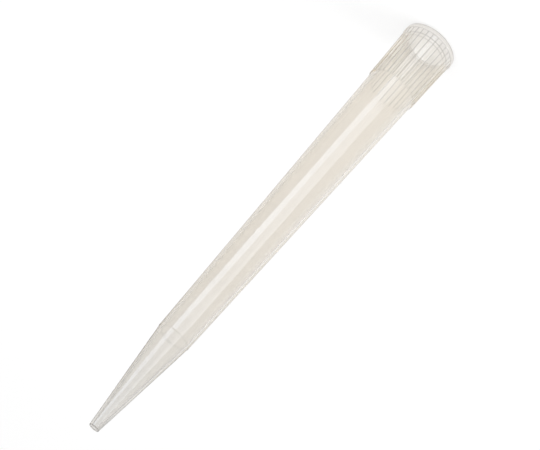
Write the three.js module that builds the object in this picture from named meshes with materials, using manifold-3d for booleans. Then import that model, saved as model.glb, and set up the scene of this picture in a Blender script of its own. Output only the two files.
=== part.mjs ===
// A large-volume pipette tip, moulded in one piece from natural polypropylene.
// It stands on its open mouth: the rim lies in the plane z = 0 and the nose points up along +Z.
// Units are millimetres.

import * as THREE from 'three';
import { mergeVertices } from 'three/addons/utils/BufferGeometryUtils.js';
import Module from 'manifold-3d';

// Lengths along the axis
const tipLength = 150;            // rim face to nose end
const collarLength = 20;          // rim face to the collar's lower edge
const noseLength = 31.5;          // thin nose, from the step to its end

// Barrel and nose, outside
const barrelTopRadius = 7.4;      // at the collar's lower edge
const barrelEndRadius = 4.86;     // at the step
const stepDepth = 0.08;           // the nose starts this much narrower than the barrel ends
const stepChamfer = 0.12;
const noseRounding = 0.12;

// Wall and hollow
const barrelTopWall = 1.15;
const barrelEndWall = 0.9;
const noseEndWall = 0.62;
const orificeRadius = 0.82;
const orificeRounding = 0.08;
const socketFlare = 0.1;          // the nozzle socket widens this much towards the mouth
const ledgeWidth = 0.3;           // short cone where the nozzle seals
const ledgeHeight = 1;
const leadInHeight = 2.2;         // wide cone that guides the nozzle in

// Collar, with its fine grip ribs
const collarStep = 0.14;          // the collar's lower edge stands this proud of the barrel
const collarFlare = 0.54;         // it widens this much towards the rim
const collarChamfer = 0.14;       // along the axis, on its lower edge
const ribCount = 30;
const ribWidth = 0.5;
const ribHeight = 0.14;
const ribChamfer = 0.1;           // along the crest's edges
const ribRoot = 0.3;              // how deep a rib is set into the collar wall

// Lip around the mouth
const lipProud = 0.37;            // beyond the collar's cone
const lipHeight = 1.4;
const lipRounding = 0.35;         // outer edge of the rim
const rimWidth = 0.8;             // rim face, from edge to edge before rounding
const mouthRounding = 0.1;

// Smoothness of the round surfaces
const facetsPerRib = 3;           // facets of the round wall in one rib pitch
const arcSteps = 2;               // straight pieces in half of a rounded edge

// What follows from them
const stepHeight = tipLength - noseLength;
const collarEndRadius = barrelTopRadius + collarStep;
const collarMouthRadius = collarEndRadius + collarFlare;
const lipRadius = collarMouthRadius + lipProud;
const mouthRadius = lipRadius - rimWidth;
const boreTopRadius = barrelTopRadius - barrelTopWall;
const boreEndRadius = barrelEndRadius - barrelEndWall;
const socketRadius = boreTopRadius + socketFlare;
const noseEndRadius = orificeRadius + noseEndWall;
const facetCount = ribCount * facetsPerRib;

// Radius of the collar's cone at a height, between the ribs
function collarRadius(height) {
  return collarMouthRadius - collarFlare * (height / collarLength);
}

// Closed outline of the wall: x is the radius and y the height. It runs outwards over the rim face,
// up the outside to the nose end, and back down the inside.
function wallOutline() {
  const wall = new THREE.Path();
  const lipCentre = lipRadius - lipRounding;
  const lipShoulder = lipRadius - collarRadius(lipHeight);
  wall.moveTo(mouthRadius + mouthRounding, 0);
  wall.lineTo(lipCentre, 0);
  wall.absarc(lipCentre, lipRounding, lipRounding, -Math.PI / 2, 0, false);
  wall.lineTo(lipRadius, lipHeight - lipShoulder / 2);
  wall.lineTo(collarRadius(lipHeight), lipHeight);
  wall.lineTo(collarEndRadius, collarLength - collarChamfer);
  wall.lineTo(barrelTopRadius, collarLength);
  wall.lineTo(barrelEndRadius, stepHeight - stepChamfer);
  wall.lineTo(barrelEndRadius - stepDepth, stepHeight);
  wall.lineTo(noseEndRadius, tipLength - noseRounding);
  wall.absarc(
    noseEndRadius - noseRounding, tipLength - noseRounding, noseRounding,
    0, Math.PI / 2, false,
  );
  wall.lineTo(orificeRadius + orificeRounding, tipLength);
  wall.absarc(
    orificeRadius + orificeRounding, tipLength - orificeRounding, orificeRounding,
    Math.PI / 2, Math.PI, false,
  );
  wall.lineTo(boreEndRadius, stepHeight);
  wall.lineTo(boreTopRadius, collarLength);
  wall.lineTo(socketRadius, leadInHeight + ledgeHeight);
  wall.lineTo(socketRadius + ledgeWidth, leadInHeight);
  wall.lineTo(mouthRadius, mouthRounding);
  wall.lineTo(mouthRadius + mouthRounding, 0);
  return wall.getPoints(arcSteps);
}

// The plain wall, turned about the axis. The middle of a facet faces -Y, where the first rib sits.
function turnedWall() {
  const halfFacet = Math.PI / facetCount;
  const wall = new THREE.LatheGeometry(wallOutline(), facetCount, halfFacet);
  wall.rotateX(Math.PI / 2);
  return wall;
}

// The first rib: its side view, from inside the lip to the collar's lower edge, given a width.
// The crest follows the collar's cone and its end slopes down to the barrel as the collar's edge does.
function ribBar() {
  const start = lipHeight / 2;
  const end = collarLength - collarChamfer;
  const side = new THREE.Shape();
  side.moveTo(collarRadius(start) - ribRoot, start);
  side.lineTo(collarRadius(start) + ribHeight, start);
  side.lineTo(collarRadius(end) + ribHeight, end);
  side.lineTo(barrelTopRadius, collarLength);
  side.lineTo(barrelTopRadius - ribRoot, collarLength);
  const bar = new THREE.ExtrudeGeometry(side, {
    depth: ribWidth - 2 * ribChamfer,
    bevelEnabled: true,
    bevelSegments: 1,
    bevelThickness: ribChamfer,
    bevelSize: ribChamfer,
    bevelOffset: -ribChamfer,
  });
  bar.translate(0, 0, ribChamfer - ribWidth / 2);
  bar.rotateX(Math.PI / 2);
  bar.rotateZ(-Math.PI / 2);
  return bar;
}

const wasm = await Module();
wasm.setup();

// A closed geometry as a solid that can be joined
function toSolid(geometry) {
  const bare = geometry.clone();
  bare.deleteAttribute('normal');
  bare.deleteAttribute('uv');
  const merged = mergeVertices(bare);
  const mesh = new wasm.Mesh({
    numProp: 3,
    vertProperties: Float32Array.from(merged.attributes.position.array),
    triVerts: Uint32Array.from(merged.index.array),
  });
  return new wasm.Manifold(mesh);
}

// A joined solid as a geometry again
function toGeometry(solid) {
  const mesh = solid.getMesh();
  const geometry = new THREE.BufferGeometry();
  geometry.setAttribute('position', new THREE.BufferAttribute(mesh.vertProperties, 3));
  geometry.setIndex(new THREE.BufferAttribute(mesh.triVerts, 1));
  geometry.computeVertexNormals();
  return geometry;
}

// The turned wall with a rib at every pitch around the collar
function makeTip() {
  const bar = ribBar();
  let solid = toSolid(turnedWall());
  for (let rib = 0; rib < ribCount; rib += 1) {
    const turned = bar.clone().rotateZ((rib / ribCount) * 2 * Math.PI);
    solid = solid.add(toSolid(turned));
  }
  const plastic = new THREE.MeshStandardMaterial({
    color: 0xe8e3d9,
    roughness: 0.3,
    metalness: 0,
  });
  const tip = new THREE.Mesh(toGeometry(solid), plastic);
  tip.name = 'tip';
  return tip;
}

const group = new THREE.Group();
group.add(makeTip());

export default group;
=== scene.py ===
import math

import bpy
from mathutils import Matrix, Vector


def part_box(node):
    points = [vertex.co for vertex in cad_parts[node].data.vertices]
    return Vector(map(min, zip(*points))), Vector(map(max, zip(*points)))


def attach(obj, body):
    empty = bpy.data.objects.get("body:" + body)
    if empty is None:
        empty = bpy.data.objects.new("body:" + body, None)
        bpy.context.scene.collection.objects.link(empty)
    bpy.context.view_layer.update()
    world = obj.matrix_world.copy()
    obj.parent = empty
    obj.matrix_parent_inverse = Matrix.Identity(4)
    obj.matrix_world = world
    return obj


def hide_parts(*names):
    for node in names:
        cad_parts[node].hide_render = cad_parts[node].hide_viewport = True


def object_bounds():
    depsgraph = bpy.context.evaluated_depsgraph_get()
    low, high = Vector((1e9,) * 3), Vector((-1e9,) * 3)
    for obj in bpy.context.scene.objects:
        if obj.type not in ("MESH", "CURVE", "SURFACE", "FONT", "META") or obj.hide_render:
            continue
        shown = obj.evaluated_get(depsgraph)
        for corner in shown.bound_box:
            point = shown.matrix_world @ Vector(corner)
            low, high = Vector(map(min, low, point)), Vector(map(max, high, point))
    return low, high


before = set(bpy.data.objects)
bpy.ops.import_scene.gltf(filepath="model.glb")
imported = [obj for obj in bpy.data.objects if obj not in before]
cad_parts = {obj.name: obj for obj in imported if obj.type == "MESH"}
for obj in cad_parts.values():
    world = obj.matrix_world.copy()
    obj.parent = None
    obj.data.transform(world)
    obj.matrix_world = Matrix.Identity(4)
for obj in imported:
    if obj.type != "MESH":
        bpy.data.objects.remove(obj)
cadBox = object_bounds()
mm = 0.001
print("frame loaded")


# Small helpers for node trees
def addNode(tree, kind, settings=None, **inputs):
    node = tree.nodes.new(kind)
    for name, value in (settings or {}).items():
        setattr(node, name, value)
    for name, value in inputs.items():
        socket = node.inputs[int(name[2:])] if name.startswith("in") else node.inputs[name]
        if isinstance(value, bpy.types.NodeSocket):
            tree.links.new(value, socket)
        else:
            socket.default_value = value
    return node


def calc(tree, operation, a, b=0.0):
    return addNode(tree, "ShaderNodeMath", {"operation": operation}, in0=a, in1=b).outputs[0]


def ramp(tree, value, low, high, toLow=0.0, toHigh=1.0, smooth=False):
    kind = "SMOOTHSTEP" if smooth else "LINEAR"
    return addNode(
        tree, "ShaderNodeMapRange", {"interpolation_type": kind, "clamp": True},
        in0=value, in1=low, in2=high, in3=toLow, in4=toHigh,
    ).outputs[0]


def mixColours(tree, share, first, second, blend="MIX"):
    settings = {"data_type": "RGBA", "blend_type": blend}
    return addNode(tree, "ShaderNodeMix", settings, in0=share, in6=first, in7=second).outputs[2]


def flatRadius(tree, x, y):
    # Distance from the axis, and the level vector that leads away from it
    flat = addNode(tree, "ShaderNodeCombineXYZ", X=x, Y=y).outputs[0]
    radius = addNode(tree, "ShaderNodeVectorMath", {"operation": "LENGTH"}, in0=flat).outputs["Value"]
    return radius, flat


# The tip, in millimetres from the rim face up to the nose end
tipSizes = {
    "length": 150.0,
    "collarLength": 20.0,
    "noseLength": 31.5,
    "barrelTopRadius": 7.4,
    "barrelEndRadius": 4.86,
    "stepDepth": 0.08,
    "stepChamfer": 0.12,
    "stepRounding": 0.04,
    "noseEndRadius": 1.44,
    "noseRounding": 0.12,
    "orificeRadius": 0.82,
    "orificeRounding": 0.08,
    "boreTopRadius": 6.25,
    "boreTopRounding": 0.5,
    "boreEndRadius": 3.96,
    "boreEndRounding": 2.0,
    "collarEndRadius": 7.54,
    "collarMouthRadius": 8.08,
    "collarChamfer": 0.14,
    "collarRounding": 0.05,
    "lipHeight": 1.4,
    "lipRounding": 0.35,
    "lipTopDrop": 0.2,      # the lip's flat side ends this far below its top
    "lipTopRounding": 0.15,
    "lipRootRounding": 0.1,
    "rimWidth": 0.8,
    "rimRounding": 0.12,
    "leadInHeight": 2.2,
    "leadInRadius": 6.65,
    "ledgeHeight": 1.0,
    "socketRadius": 6.35,
    "socketRounding": 0.1,
    "longestRun": 3.0,      # straight stretches are split to at most this
    "roundingStep": 0.08,   # length of the short steps that a rounding is made of
    "roundingShare": 0.4,   # the most of a straight stretch that a rounding may take
    "holdingGap": 0.09,     # from a rounding to its holding point
    "holdingRoom": 3,       # a stretch shorter than so many of these gaps gets no holding point
    "pathRadius": 8.0,      # of the even ring that carries the outline round
    "wallMiddle": 0.6,      # further out than the socket by this much is the outer skin
    "barrelFacets": 180,
    "barrelFacetStart": 0.12,   # above the collar's edge
    "noseFacets": 72,
    "noseFacetStart": 0.2,      # above the step
    "mergeGap": 0.001,
}

# The grip ribs on the collar, in millimetres
ribSizes = {
    "count": 30,
    "width": 0.5,
    "height": 0.14,
    "flank": 0.1,
    "hold": 0.05,           # flat strip beside each flank, so that the wall between two ribs shades evenly
    "startFade": 0.2,
    "endFade": 0.14,
    "stepsPerPitch": 14,    # columns from one rib to the next
    "stepsPerRib": 8,       # and how many of them a rib takes
}


def softCorner(before, here, after, fillet):
    # A rounding of short steps, with a holding point on each side so that the long runs shade straight
    toBefore, toAfter = before - here, after - here
    a, b = toBefore.normalized(), toAfter.normalized()
    half = a.angle(b) / 2
    most = tipSizes["roundingShare"]
    back = min(fillet / math.tan(half), most * toBefore.length, most * toAfter.length)
    radius = back * math.tan(half)
    centre = here + (a + b).normalized() * (radius / math.sin(half))
    start, end = here + a * back - centre, here + b * back - centre
    turn = start.angle_signed(end)
    length = abs(turn) * radius
    arc = [here]
    if length > tipSizes["roundingStep"] / 2:
        count = max(1, round(length / tipSizes["roundingStep"]))
        arc = [centre + Matrix.Rotation(-turn * k / count, 2) @ start for k in range(count + 1)]
    hold = tipSizes["holdingGap"]
    room = tipSizes["holdingRoom"] * hold + back
    if toBefore.length > room:
        arc.insert(0, arc[0] + a * hold)
    if toAfter.length > room:
        arc.append(arc[-1] + b * hold)
    return arc


def softenedLoop(corners):
    # corners are (radius, height, rounding)
    points = []
    count = len(corners)
    for i, (radius, height, fillet) in enumerate(corners):
        here = Vector((radius, height))
        before = Vector(corners[i - 1][:2])
        after = Vector(corners[(i + 1) % count][:2])
        points += softCorner(before, here, after, fillet)
    return points


def splitRuns(points, longest):
    result = []
    for i, here in enumerate(points):
        there = points[(i + 1) % len(points)]
        parts = max(1, math.ceil((there - here).length / longest))
        result += [here.lerp(there, k / parts) for k in range(parts)]
    return result


def tipOutline(s):
    # One closed loop: up the outside from the rim, then down the bore
    step = s["length"] - s["noseLength"]
    lip = min(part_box("tip")[1][:2]) / mm
    collarEdge = s["collarLength"] - s["collarChamfer"]
    ledgeEnd = s["leadInHeight"] + s["ledgeHeight"]

    def collar(height):
        share = height / s["collarLength"]
        return s["collarMouthRadius"] + (s["collarEndRadius"] - s["collarMouthRadius"]) * share

    corners = [
        (lip - s["rimWidth"], 0, s["rimRounding"]),
        (lip, 0, s["lipRounding"]),
        (lip, s["lipHeight"] - s["lipTopDrop"], s["lipTopRounding"]),
        (collar(s["lipHeight"]), s["lipHeight"], s["lipRootRounding"]),
        (collar(collarEdge), collarEdge, s["collarRounding"]),
        (s["barrelTopRadius"], s["collarLength"], s["collarRounding"]),
        (s["barrelEndRadius"], step - s["stepChamfer"], s["stepRounding"]),
        (s["barrelEndRadius"] - s["stepDepth"], step, s["stepRounding"]),
        (s["noseEndRadius"], s["length"], s["noseRounding"]),
        (s["orificeRadius"], s["length"], s["orificeRounding"]),
        (s["boreEndRadius"], step, s["boreEndRounding"]),
        (s["boreTopRadius"], s["collarLength"], s["boreTopRounding"]),
        (s["socketRadius"], ledgeEnd, s["socketRounding"]),
        (s["leadInRadius"], s["leadInHeight"], s["socketRounding"]),
    ]
    return splitRuns(softenedLoop(corners), s["longestRun"])


def stepUp(tree, height, limit, below, above):
    # One value below a height and another above it
    over = calc(tree, "GREATER_THAN", height, limit)
    return calc(
        tree, "ADD",
        calc(tree, "MULTIPLY", over, above),
        calc(tree, "MULTIPLY", calc(tree, "SUBTRACT", 1.0, over), below),
    )


def tipTree(material):
    tree = bpy.data.node_groups.new("turnAndRib", "GeometryNodeTree")
    tree.interface.new_socket("Outline", in_out="INPUT", socket_type="NodeSocketGeometry")
    step = tipSizes["length"] - tipSizes["noseLength"]
    sizes = {
        "Path Radius": tipSizes["pathRadius"] * mm,
        "Rib Count": ribSizes["count"],
        "Rib Width": ribSizes["width"] * mm,
        "Rib Height": ribSizes["height"] * mm,
        "Rib Flank": ribSizes["flank"] * mm,
        "Rib Hold": ribSizes["hold"] * mm,
        "Rib Start": tipSizes["lipHeight"] * mm,
        "Start Fade": ribSizes["startFade"] * mm,
        "Rib End": tipSizes["collarLength"] * mm,
        "End Fade": ribSizes["endFade"] * mm,
        "Snap Start": (tipSizes["collarLength"] + tipSizes["barrelFacetStart"]) * mm,
        "Nose Start": (step + tipSizes["noseFacetStart"]) * mm,
        "Barrel Facet": 2 * math.pi / tipSizes["barrelFacets"],
        "Nose Facet": 2 * math.pi / tipSizes["noseFacets"],
        "Wall Middle": (tipSizes["socketRadius"] + tipSizes["wallMiddle"]) * mm,
        "Merge Gap": tipSizes["mergeGap"] * mm,
        "Steps Per Pitch": ribSizes["stepsPerPitch"],
        "Steps Per Rib": ribSizes["stepsPerRib"],
    }
    for name, value in sizes.items():
        kind = "NodeSocketInt" if isinstance(value, int) else "NodeSocketFloat"
        tree.interface.new_socket(name, in_out="INPUT", socket_type=kind)
    tree.interface.new_socket("Material", in_out="INPUT", socket_type="NodeSocketMaterial")
    tree.interface.new_socket("Tip", in_out="OUTPUT", socket_type="NodeSocketGeometry")
    given = tree.nodes.new("NodeGroupInput").outputs

    # An even ring carries the outline round; each column keeps its number
    pointCount = calc(tree, "MULTIPLY", given["Rib Count"], given["Steps Per Pitch"])
    ring = addNode(
        tree, "GeometryNodeCurvePrimitiveCircle", Resolution=pointCount, Radius=given["Path Radius"],
    )
    upright = addNode(tree, "GeometryNodeSetCurveNormal", {"mode": "Z_UP"}, Curve=ring.outputs[0])
    numbered = tree.nodes.new("GeometryNodeCaptureAttribute")
    numbered.capture_items.new("FLOAT", "Column")
    tree.links.new(upright.outputs[0], numbered.inputs["Geometry"])
    tree.links.new(tree.nodes.new("GeometryNodeInputIndex").outputs[0], numbered.inputs["Column"])
    outline = addNode(tree, "GeometryNodeMeshToCurve", Mesh=given["Outline"])
    wall = addNode(tree, "GeometryNodeCurveToMesh", Curve=numbered.outputs["Geometry"])
    tree.links.new(outline.outputs[0], wall.inputs["Profile Curve"])

    # Columns crowd together across each rib, and spread out between two ribs
    inPitch = calc(tree, "DIVIDE", numbered.outputs["Column"], given["Steps Per Pitch"])
    whole = calc(tree, "FLOOR", inPitch)
    part = calc(tree, "SUBTRACT", inPitch, whole)
    ribShare = calc(tree, "DIVIDE", given["Steps Per Rib"], given["Steps Per Pitch"])
    pitch = calc(tree, "DIVIDE", 2 * math.pi, given["Rib Count"])
    bothHolds = calc(tree, "MULTIPLY", given["Rib Hold"], 2.0)
    ribPatch = calc(tree, "ADD", given["Rib Width"], bothHolds)
    ribAngle = calc(tree, "DIVIDE", ribPatch, given["Path Radius"])
    ribPart = calc(tree, "DIVIDE", ribAngle, pitch)
    gapPart = calc(tree, "SUBTRACT", 1.0, ribPart)
    spaced = calc(
        tree, "ADD",
        ramp(tree, part, 0.0, ribShare, 0.0, ribPart),
        ramp(tree, part, ribShare, 1.0, 0.0, gapPart),
    )
    centred = calc(tree, "SUBTRACT", spaced, calc(tree, "MULTIPLY", ribPart, 0.5))
    crowded = calc(tree, "MULTIPLY", calc(tree, "ADD", whole, centred), pitch)

    # Above the collar the columns snap to fewer, even facets, and to fewer still on the nose
    wallPosition = tree.nodes.new("GeometryNodeInputPosition").outputs[0]
    wallX, wallY, wallHeight = addNode(tree, "ShaderNodeSeparateXYZ", in0=wallPosition).outputs
    facet = stepUp(tree, wallHeight, given["Nose Start"], given["Barrel Facet"], given["Nose Facet"])
    nearestFacet = calc(tree, "ROUND", calc(tree, "DIVIDE", crowded, facet))
    snapped = calc(tree, "MULTIPLY", nearestFacet, facet)
    angle = stepUp(tree, wallHeight, given["Snap Start"], crowded, snapped)
    wallRadius = flatRadius(tree, wallX, wallY)[0]
    turned = addNode(
        tree, "ShaderNodeCombineXYZ",
        X=calc(tree, "MULTIPLY", calc(tree, "SINE", angle), wallRadius),
        Y=calc(tree, "MULTIPLY", calc(tree, "COSINE", angle), calc(tree, "MULTIPLY", wallRadius, -1.0)),
        Z=wallHeight,
    ).outputs[0]
    evened = addNode(tree, "GeometryNodeSetPosition", Geometry=wall.outputs[0], Position=turned)
    merged = addNode(
        tree, "GeometryNodeMergeByDistance", Geometry=evened.outputs[0], Distance=given["Merge Gap"],
    )

    # Ribs rise from the collar, fade out at the lip and at the collar's edge
    position = tree.nodes.new("GeometryNodeInputPosition").outputs[0]
    x, y, z = addNode(tree, "ShaderNodeSeparateXYZ", in0=position).outputs
    radius, flat = flatRadius(tree, x, y)
    outwards = addNode(tree, "ShaderNodeVectorMath", {"operation": "NORMALIZE"}, in0=flat).outputs[0]
    turn = calc(tree, "ARCTAN2", x, calc(tree, "MULTIPLY", y, -1.0))
    pitches = calc(tree, "DIVIDE", turn, pitch)
    offCentre = calc(tree, "ABSOLUTE", calc(tree, "SUBTRACT", pitches, calc(tree, "ROUND", pitches)))
    away = calc(tree, "MULTIPLY", calc(tree, "MULTIPLY", offCentre, pitch), radius)
    halfWidth = calc(tree, "MULTIPLY", given["Rib Width"], 0.5)
    crest = calc(tree, "SUBTRACT", halfWidth, given["Rib Flank"])
    across = ramp(tree, away, halfWidth, crest, smooth=True)
    startRise = calc(tree, "ADD", given["Rib Start"], given["Start Fade"])
    endRise = calc(tree, "SUBTRACT", given["Rib End"], given["End Fade"])
    along = calc(
        tree, "MULTIPLY",
        ramp(tree, z, given["Rib Start"], startRise, smooth=True),
        ramp(tree, z, given["Rib End"], endRise),
    )
    outside = calc(tree, "GREATER_THAN", radius, given["Wall Middle"])
    rise = calc(tree, "MULTIPLY", calc(tree, "MULTIPLY", across, along), outside)
    rise = calc(tree, "MULTIPLY", rise, given["Rib Height"])
    offset = addNode(tree, "ShaderNodeVectorMath", {"operation": "SCALE"}, in0=outwards, Scale=rise)
    ribbed = addNode(
        tree, "GeometryNodeSetPosition", Geometry=merged.outputs[0], Offset=offset.outputs[0],
    )
    outwardFaces = addNode(tree, "GeometryNodeFlipFaces", Mesh=ribbed.outputs[0])
    smooth = addNode(tree, "GeometryNodeSetShadeSmooth", Geometry=outwardFaces.outputs[0])
    real = addNode(tree, "GeometryNodeRealizeInstances", Geometry=smooth.outputs[0])
    painted = addNode(
        tree, "GeometryNodeSetMaterial", Geometry=real.outputs[0], Material=given["Material"],
    )
    tree.links.new(painted.outputs[0], tree.nodes.new("NodeGroupOutput").inputs[0])
    return tree, dict(sizes, Material=material)


def makeTip(material):
    outline = tipOutline(tipSizes)
    mesh = bpy.data.meshes.new("tipOutline")
    points = [((radius - tipSizes["pathRadius"]) * mm, -height * mm, 0) for radius, height in outline]
    edges = [(i, (i + 1) % len(points)) for i in range(len(points))]
    mesh.from_pydata(points, edges, [])
    maker = bpy.data.objects.new("tipMaker", mesh)
    bpy.context.collection.objects.link(maker)
    tree, values = tipTree(material)
    modifier = maker.modifiers.new("turnAndRib", "NODES")
    modifier.node_group = tree
    for item in tree.interface.items_tree:
        if item.in_out == "INPUT" and item.name in values:
            modifier[item.identifier] = values[item.name]
    maker.update_tag()
    bpy.context.view_layer.update()
    made = maker.evaluated_get(bpy.context.evaluated_depsgraph_get())
    tipMesh = bpy.data.meshes.new_from_object(made)
    finished = bpy.data.objects.new("moulded_tip", tipMesh)
    bpy.context.collection.objects.link(finished)
    bpy.data.objects.remove(maker)
    return finished


# Natural polypropylene: mostly clear, a little milky, warmer where light goes a long way through it.
# Heights and widths are in millimetres.
plasticLook = {
    "tint": (0.98, 0.958, 0.925, 1),
    "collarTint": (0.992, 0.98, 0.954, 1),
    "mouthTint": (0.962, 0.948, 0.935, 1),
    "lowTint": (0.934, 0.913, 0.881, 1),
    # Painted shade: the nose's tint is greyer and darker.
    "paintedNoseShade": (0.889, 0.884, 0.875, 1),
    "tintHeights": (20.0, 100.0, 150.0),    # where tint, lowTint and the painted nose shade are full
    "collarBlend": 0.3,                     # half width of the change at the collar's edge
    "mouthHeights": (8.0, 2.0),             # where the mouth's tint starts, and where it is full
    "cloudShade": (0.967, 0.962, 0.954, 1),
    "cloudScale": 120.0,
    "cloudDetail": 3.0,
    "cloudRange": (0.3, 0.7),               # the noise levels between which the roughness changes
    "clear": 0.88,
    "roughness": 0.05,
    "cloudRoughness": 0.08,
    "ior": 1.13,
    "gloss": 1.0,
    "glossRoughness": 0.07,
    "soak": (0.93, 0.885, 0.8, 1),          # colour of light that has gone through the wall
    "soakDensity": 185.0,
}

# Painted shade: a fine dark line follows each rib and each ring, for the dark lines that the light bent at
# these edges gives. In millimetres.
edgeShadeLook = {
    "tint": (0.42, 0.4, 0.38, 1),
    "ribEdge": 0.22,         # the line along a rib fades from its core to its edge
    "ribCore": 0.08,
    "ribSkinRadius": 7.1,    # the lines lie on the outer skin, outside this
    "ribStartFade": 0.2,
    "ribEndFade": 0.15,
    "boldSide": 25.0,        # degrees, where the painted shade along the ribs is boldest, on the side turned away from the key lamp
    "boldReach": 8.0,        # they grow fainter from this far on that side to as far on the other
    "boldLine": 0.95,
    "faintLine": 0.6,
    "ringCore": 0.3,         # share of a ring's half width that is at full strength
    "frontToBack": 2.0,      # a ring's front strength turns into its back strength within this of the axis
    # The rings are painted shade as well, each set stronger at the front or at the back as its shade shows
    # from the camera's side.
    # height, half width, strength at the front and at the back, and the radii between which it lies
    "rings": [
        (2.25, 0.22, 0.75, 0.0, 5.0, 7.3),      # end of the lead-in
        (1.55, 0.36, 0.0, 0.7, 5.0, 7.3),       # lead-in
        (3.2, 0.22, 0.6, 0.3, 5.0, 7.3),        # ledge
        (0.7, 0.3, 0.0, 0.5, 8.1, 9.0),         # side of the lip
        (0.0, 0.35, 0.7, 0.0, 8.0, 9.0),        # outer edge of the rim
        (1.4, 0.14, 0.5, 0.3, 7.3, 9.0),        # top of the lip
        (19.9, 0.12, 0.32, 0.2, 7.0, 9.0),      # lower edge of the collar
        (118.5, 0.16, 0.26, 0.0, 4.4, 9.0),     # step, at the front
        (118.5, 0.3, 0.0, 0.3, 3.0, 9.0),       # step, at the back
        (150.0, 0.4, 1.0, 1.0, 0.0, 9.0),       # end of the nose
    ],
}


# Painted shade: dark lines along the ribs, bolder on one side, and round the moulded edges.
def paintedEdgeShade(tree, place, look):
    scaled = addNode(tree, "ShaderNodeVectorMath", {"operation": "SCALE"}, in0=place, Scale=1 / mm)
    x, y, z = addNode(tree, "ShaderNodeSeparateXYZ", in0=scaled.outputs[0]).outputs
    radius = flatRadius(tree, x, y)[0]
    turn = calc(tree, "ARCTAN2", x, calc(tree, "MULTIPLY", y, -1.0))
    pitch = 2 * math.pi / ribSizes["count"]
    pitches = calc(tree, "DIVIDE", turn, pitch)
    offCentre = calc(tree, "ABSOLUTE", calc(tree, "SUBTRACT", pitches, calc(tree, "ROUND", pitches)))
    away = calc(tree, "MULTIPLY", calc(tree, "MULTIPLY", offCentre, pitch), radius)
    across = ramp(tree, away, look["ribEdge"], look["ribCore"])
    outside = calc(tree, "GREATER_THAN", radius, look["ribSkinRadius"])
    start, end = tipSizes["lipHeight"], tipSizes["collarLength"]
    along = calc(
        tree, "MULTIPLY",
        ramp(tree, z, start, start + look["ribStartFade"]),
        ramp(tree, z, end, end - look["ribEndFade"]),
    )
    ribs = calc(tree, "MULTIPLY", calc(tree, "MULTIPLY", across, along), outside)
    side = math.radians(look["boldSide"])
    toSide = calc(
        tree, "ADD",
        calc(tree, "MULTIPLY", x, math.cos(side)),
        calc(tree, "MULTIPLY", y, math.sin(side)),
    )
    reach = look["boldReach"]
    boldness = ramp(tree, toSide, -reach, reach, look["faintLine"], look["boldLine"])
    lines = calc(tree, "MULTIPLY", ribs, boldness)
    middle = look["frontToBack"]
    for height, width, front, back, inner, outer in look["rings"]:
        near = calc(tree, "ABSOLUTE", calc(tree, "SUBTRACT", z, height))
        ring = ramp(tree, near, width, look["ringCore"] * width, smooth=True)
        ring = calc(tree, "MULTIPLY", ring, ramp(tree, y, -middle, middle, front, back))
        ring = calc(tree, "MULTIPLY", ring, calc(tree, "GREATER_THAN", radius, inner))
        ring = calc(tree, "MULTIPLY", ring, calc(tree, "LESS_THAN", radius, outer))
        lines = calc(tree, "MAXIMUM", lines, ring)
    return lines


def tintAndNoseShade(tree, height, look):
    # Warm along the barrel, paler in the collar and around the mouth; greyer and darker down the nose,
    # which is painted shade
    top, low, end = [level * mm for level in look["tintHeights"]]
    shade = mixColours(tree, ramp(tree, height, top, low), look["tint"], look["lowTint"])
    shade = mixColours(tree, ramp(tree, height, low, end), shade, look["paintedNoseShade"])
    collarEnd = tipSizes["collarLength"] * mm
    blend = look["collarBlend"] * mm
    inCollar = ramp(tree, height, collarEnd + blend, collarEnd - blend)
    shade = mixColours(tree, inCollar, shade, look["collarTint"])
    mouthStart, mouthFull = [level * mm for level in look["mouthHeights"]]
    inMouth = ramp(tree, height, mouthStart, mouthFull)
    return mixColours(tree, inMouth, shade, look["mouthTint"])


def makePlastic(look, edges):
    material = bpy.data.materials.new("naturalPlastic")
    material.use_nodes = True
    tree = material.node_tree
    bsdf = tree.nodes["Principled BSDF"]
    place = addNode(tree, "ShaderNodeTexCoord").outputs["Object"]
    cloud = addNode(
        tree, "ShaderNodeTexNoise", Vector=place, Scale=look["cloudScale"], Detail=look["cloudDetail"],
    ).outputs[0]
    height = addNode(tree, "ShaderNodeSeparateXYZ", in0=place).outputs[2]
    shade = tintAndNoseShade(tree, height, look)
    clouded = mixColours(tree, cloud, shade, look["cloudShade"], "MULTIPLY")
    # The painted shade along the ribs and edges darkens the colour here.
    edgeShaded = mixColours(tree, paintedEdgeShade(tree, place, edges), clouded, edges["tint"])
    tree.links.new(edgeShaded, bsdf.inputs["Base Color"])
    thin, thick = look["cloudRange"]
    rough = ramp(tree, cloud, thin, thick, look["roughness"], look["cloudRoughness"])
    tree.links.new(rough, bsdf.inputs["Roughness"])
    bsdf.inputs["Transmission Weight"].default_value = look["clear"]
    bsdf.inputs["IOR"].default_value = look["ior"]
    bsdf.inputs["Coat Weight"].default_value = look["gloss"]
    bsdf.inputs["Coat Roughness"].default_value = look["glossRoughness"]
    soak = addNode(tree, "ShaderNodeVolumeAbsorption", Color=look["soak"], Density=look["soakDensity"])
    tree.links.new(soak.outputs[0], tree.nodes["Material Output"].inputs["Volume"])
    return material


plastic = makePlastic(plasticLook, edgeShadeLook)
tip = makeTip(plastic)
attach(tip, "root")
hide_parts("tip")
print("tip made:", len(tip.data.vertices), "points")


def directlySeen(tree):
    # 1 where the eye, a reflection or the plastic looks at the stage, 0 where it only gives light
    rays = addNode(tree, "ShaderNodeLightPath").outputs
    total = calc(tree, "ADD", rays["Is Camera Ray"], rays["Is Glossy Ray"])
    total = calc(tree, "ADD", total, rays["Is Transmission Ray"])
    return calc(tree, "MINIMUM", total, 1.0)


# Floor of pale paper, in metres
floorLook = {
    "halfSize": 4.0,
    "drop": 0.0002,
    "shade": (0.35, 0.35, 0.35, 1),
    "paleness": 0.715,      # seen on top of the shade, so that the paper is white and keeps a soft shadow
}


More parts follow.
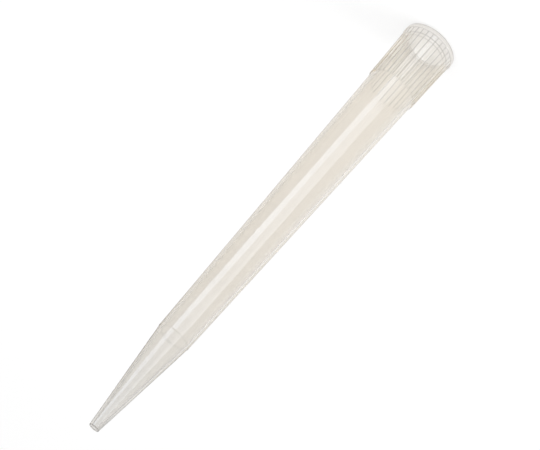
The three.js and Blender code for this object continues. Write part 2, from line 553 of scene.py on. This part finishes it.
def makeFloor(look):
    half = look["halfSize"]
    mesh = bpy.data.meshes.new("floor")
    corners = [(-half, -half, 0), (half, -half, 0), (half, half, 0), (-half, half, 0)]
    mesh.from_pydata(corners, [], [(0, 1, 2, 3)])
    floor = bpy.data.objects.new("floor", mesh)
    bpy.context.collection.objects.link(floor)
    floor.location.z = cadBox[0].z - look["drop"]
    paper = bpy.data.materials.new("floorPaper")
    paper.use_nodes = True
    tree = paper.node_tree
    tree.nodes.clear()
    shade = addNode(tree, "ShaderNodeBsdfDiffuse", Color=look["shade"])
    strength = calc(tree, "MULTIPLY", directlySeen(tree), look["paleness"])
    pale = addNode(tree, "ShaderNodeEmission", Strength=strength)
    both = addNode(tree, "ShaderNodeAddShader", in0=shade.outputs[0], in1=pale.outputs[0])
    end = tree.nodes.new("ShaderNodeOutputMaterial")
    tree.links.new(both.outputs[0], end.inputs[0])
    mesh.materials.append(paper)
    return floor


floor = makeFloor(floorLook)

# Even white surroundings: a plain level of light, seen as white
worldLook = {
    "light": 0.7,
    "seen": 1.0,
}


def makeWorld(look):
    world = bpy.data.worlds.new("studio")
    world.use_nodes = True
    tree = world.node_tree
    tree.nodes.clear()
    level = ramp(tree, directlySeen(tree), 0.0, 1.0, look["light"], look["seen"])
    background = addNode(tree, "ShaderNodeBackground", Color=(1, 1, 1, 1), Strength=level)
    end = tree.nodes.new("ShaderNodeOutputWorld")
    tree.links.new(background.outputs[0], end.inputs[0])
    return world


bpy.context.scene.world = makeWorld(worldLook)
print("floor and surroundings set")

# Two soft lamps, one on each side, in metres and watts
lampSizes = {
    "key": {"place": (-0.7, -0.4, 0.7), "target": (0, 0, 0.07), "size": 0.5, "power": 3.5},
    "fill": {"place": (0.7, -0.3, 0.7), "target": (0, 0, 0.07), "size": 0.6, "power": 1.0},
}


def makeLamp(name, sizes):
    data = bpy.data.lights.new(name, "AREA")
    data.shape = "RECTANGLE"
    data.size = sizes["size"]
    data.size_y = sizes["size"]
    data.energy = sizes["power"]
    lamp = bpy.data.objects.new(name, data)
    bpy.context.collection.objects.link(lamp)
    lamp.location = sizes["place"]
    lamp.rotation_mode = "QUATERNION"
    toTarget = Vector(sizes["target"]) - Vector(sizes["place"])
    lamp.rotation_quaternion = toTarget.to_track_quat("-Z", "Y")
    lamp.visible_camera = False
    lamp.visible_transmission = False


for lampName, sizes in lampSizes.items():
    makeLamp(lampName, sizes)

# Flat light cards just above the floor. Each is a bent strip that leads away from the foot, in stations of
# reach in metres, the turns of its two edges from the front in degrees, and its glow there. A second glow
# is that of the second edge. The cool, pale and plain ones are only seen in reflections: the bright ones
# draw the long soft lines down the wall, and where the plain ones glow less than the white floor they are
# painted shade in the reflections near the edges. The last four are only seen through the plastic, bent by
# its thick edges, and where they glow less than white they are painted shade on those edges.
cardSizes = {
    "height": 0.0005,
    "tints": {
        "cool": (0.9, 0.985, 1.13, 1),
        "pale": (0.94, 0.99, 1.07, 1),
        "plain": (1, 1, 1, 1),
        "seenThrough": (1, 1, 1, 1),
    },
    "cool": {
        "strongCard": [
            (0.0405, 11, 32, 3.3), (0.057, 11, 34, 3.4), (0.064, 11, 35.5, 4.0),
            (0.081, 11.5, 38, 4.0), (0.139, 16, 40.5, 4.6), (0.215, 15, 48, 5.0),
            (0.317, 21, 51, 4.6), (0.7, 26, 57, 4.2), (0.96, 28, 61, 3.8), (2.4, 30, 64, 3.0),
        ],
        "collarLine": [(0.0095, 4, 9, 3.2), (0.02, 4, 9, 3.8), (0.04, 4, 9, 3.8)],
    },
    "pale": {
        "secondCard": [
            (0.0405, -6, -23, 1.7, 1.9), (0.057, -6.5, -23, 1.7, 1.9), (0.064, -7, -23, 2.9),
            (0.081, -7.5, -23.3, 3.0), (0.139, -8, -26, 3.1, 3.2), (0.215, -11, -29, 3.3, 3.6),
            (0.317, -6, -33, 2.6, 3.6), (0.96, -6, -30, 2.3, 3.6), (2.4, -6, -30, 1.4, 2.5),
        ],
        "middleCard": [
            (0.0405, -6, 11, 1.9), (0.057, -6.5, 11, 1.9), (0.064, -7, 11, 2.8),
            (0.081, -7.5, 11.5, 2.8), (0.139, -8, 16, 3.0), (0.215, -11, 15, 2.9),
            (0.317, -6, 21, 2.6), (0.96, -6, 28, 1.7), (2.4, -6, 30, 1.3),
        ],
        "rightCard": [
            (0.0405, -72, -118, 1.3, 1.2), (0.139, -72, -118, 1.6), (0.3, -72, -118, 1.5, 1.4),
            (0.96, -72, -118, 1.2, 1.0),
        ],
        "collarCard": [
            (0.0095, -10, 32, 1.4), (0.015, -10, 32, 1.6), (0.019, -10, 32, 2.1),
            (0.024, -10, 32, 3.1), (0.04, -10, 32, 2.8),
        ],
    },
    # Painted shade: the collar shades and the flags mostly glow less than the white floor, to darken
    # reflections near the edges.
    "plain": {
        "collarShadeLeft": [(0.016, 35, 85, 1.0), (0.021, 35, 85, 0.3, 0.4), (0.034, 35, 85, 0.3, 0.4)],
        "collarShadeRight": [(0.016, -20, -75, 1.0), (0.021, -20, -75, 0.35), (0.034, -20, -75, 0.35)],
        "collarEdge": [(0.014, 150, 88, 1.0), (0.02, 150, 88, 1.2, 1.7), (0.029, 150, 88, 1.2, 1.7)],
        "leftFlag": [
            (0.031, 172, 112, 0.8, 1.0), (0.07, 172, 112, 0.75, 1.0), (0.16, 172, 112, 0.65, 1.0),
            (0.27, 172, 112, 0.45, 1.0), (0.33, 172, 112, 0.1, 0.95), (0.5, 172, 112, 0.0, 0.8),
            (3.9, 172, 112, 0.0, 0.6),
        ],
        "rightFlagInner": [
            (0.031, -132, -118, 0.9, 1.1), (0.07, -132, -118, 0.9, 1.2), (0.16, -132, -118, 0.75, 1.3),
            (0.27, -132, -118, 0.65, 1.2), (0.4, -132, -118, 0.5, 0.9), (3.9, -132, -118, 0.4, 0.8),
        ],
        "rightFlag": [
            (0.031, -176, -132, 0.9, 0.95), (0.07, -176, -132, 0.95), (0.16, -176, -132, 0.9, 0.85),
            (0.27, -176, -132, 0.8, 0.75), (0.4, -176, -132, 0.4, 0.55), (3.9, -176, -132, 0.2, 0.4),
        ],
    },
    # Painted shade: these mostly glow less than white, to darken what the thick edges show through the
    # plastic.
    "seenThrough": {
        "leftBackNear": [
            (0.02, 172, 154, 1.02), (0.1, 172, 154, 1.02), (0.2, 172, 154, 0.96),
            (0.34, 172, 154, 0.93), (0.37, 172, 154, 0.82), (0.45, 172, 154, 0.4),
            (3.0, 172, 154, 0.35),
        ],
        "leftBackFar": [
            (0.02, 154, 100, 0.93), (0.1, 154, 100, 0.93), (0.34, 154, 100, 0.96),
            (0.45, 154, 100, 0.96), (3.0, 154, 100, 0.96),
        ],
        "rightBackNear": [
            (0.02, -166, -136, 0.99), (0.1, -166, -136, 0.99), (0.34, -166, -136, 0.98, 0.93),
            (0.45, -166, -136, 1.0, 0.8), (3.0, -166, -136, 1.0, 0.75),
        ],
        "rightBackFar": [
            (0.02, -136, -100, 0.95), (0.1, -136, -100, 0.95), (0.34, -136, -100, 0.85),
            (0.37, -136, -100, 0.65), (0.45, -136, -100, 0.35), (3.0, -136, -100, 0.35),
        ],
    },
}


def cardShine(name, tint):
    shine = bpy.data.materials.new(name)
    shine.use_nodes = True
    tree = shine.node_tree
    tree.nodes.clear()
    glow = addNode(tree, "ShaderNodeAttribute", {"attribute_name": "glow"}).outputs["Fac"]
    emission = addNode(tree, "ShaderNodeEmission", Color=tint, Strength=glow)
    end = tree.nodes.new("ShaderNodeOutputMaterial")
    tree.links.new(emission.outputs[0], end.inputs[0])
    return shine


def makeCard(name, stations, tint, throughPlastic):
    corners = []
    glows = []
    for reach, left, right, *glow in stations:
        for turn in (left, right):
            heading = math.radians(turn)
            corners.append((math.sin(heading) * reach, -math.cos(heading) * reach, cardSizes["height"]))
        glows += [glow[0], glow[-1]]
    mesh = bpy.data.meshes.new(name)
    faces = [(2 * i, 2 * i + 1, 2 * i + 3, 2 * i + 2) for i in range(len(stations) - 1)]
    mesh.from_pydata(corners, [], faces)
    mesh.attributes.new("glow", "FLOAT", "POINT").data.foreach_set("value", glows)
    mesh.materials.append(cardShine(name, tint))
    card = bpy.data.objects.new(name, mesh)
    bpy.context.collection.objects.link(card)
    card.visible_camera = False
    card.visible_glossy = not throughPlastic
    card.visible_transmission = throughPlastic
    card.visible_diffuse = False
    card.visible_shadow = False
    return card


for kind, tint in cardSizes["tints"].items():
    for cardName, stations in cardSizes[kind].items():
        card = makeCard(cardName, stations, tint, kind == "seenThrough")
print("lamps and light cards set")

# Camera, in millimetres and degrees
cameraSizes = {
    "azimuth": 3.3,
    "distance": 382.73,
    "height": 264.85,
    "aimSide": 0.424,
    "aimHeight": 76.45,
    "roll": -138.667,
    "lens": 107.08,
    "sensor": 36,
    "nearest": 10,
}


def makeCamera(s):
    camera = bpy.data.objects.new("camera", bpy.data.cameras.new("camera"))
    bpy.context.collection.objects.link(camera)
    spin = Matrix.Rotation(math.radians(s["azimuth"]), 4, "Z")
    eye = spin @ Vector((0, -s["distance"], s["height"])) * mm
    aim = spin @ Vector((s["aimSide"], 0, s["aimHeight"])) * mm
    facing = (aim - eye).to_track_quat("-Z", "Y").to_matrix().to_4x4()
    roll = Matrix.Rotation(math.radians(s["roll"]), 4, "Z")
    camera.matrix_world = Matrix.Translation(eye) @ facing @ roll
    camera.data.lens = s["lens"]
    camera.data.sensor_width = s["sensor"]
    camera.data.clip_start = s["nearest"] * mm
    return camera


bpy.context.scene.camera = makeCamera(cameraSizes)
bpy.context.scene.view_settings.view_transform = "Standard"
print("camera placed")
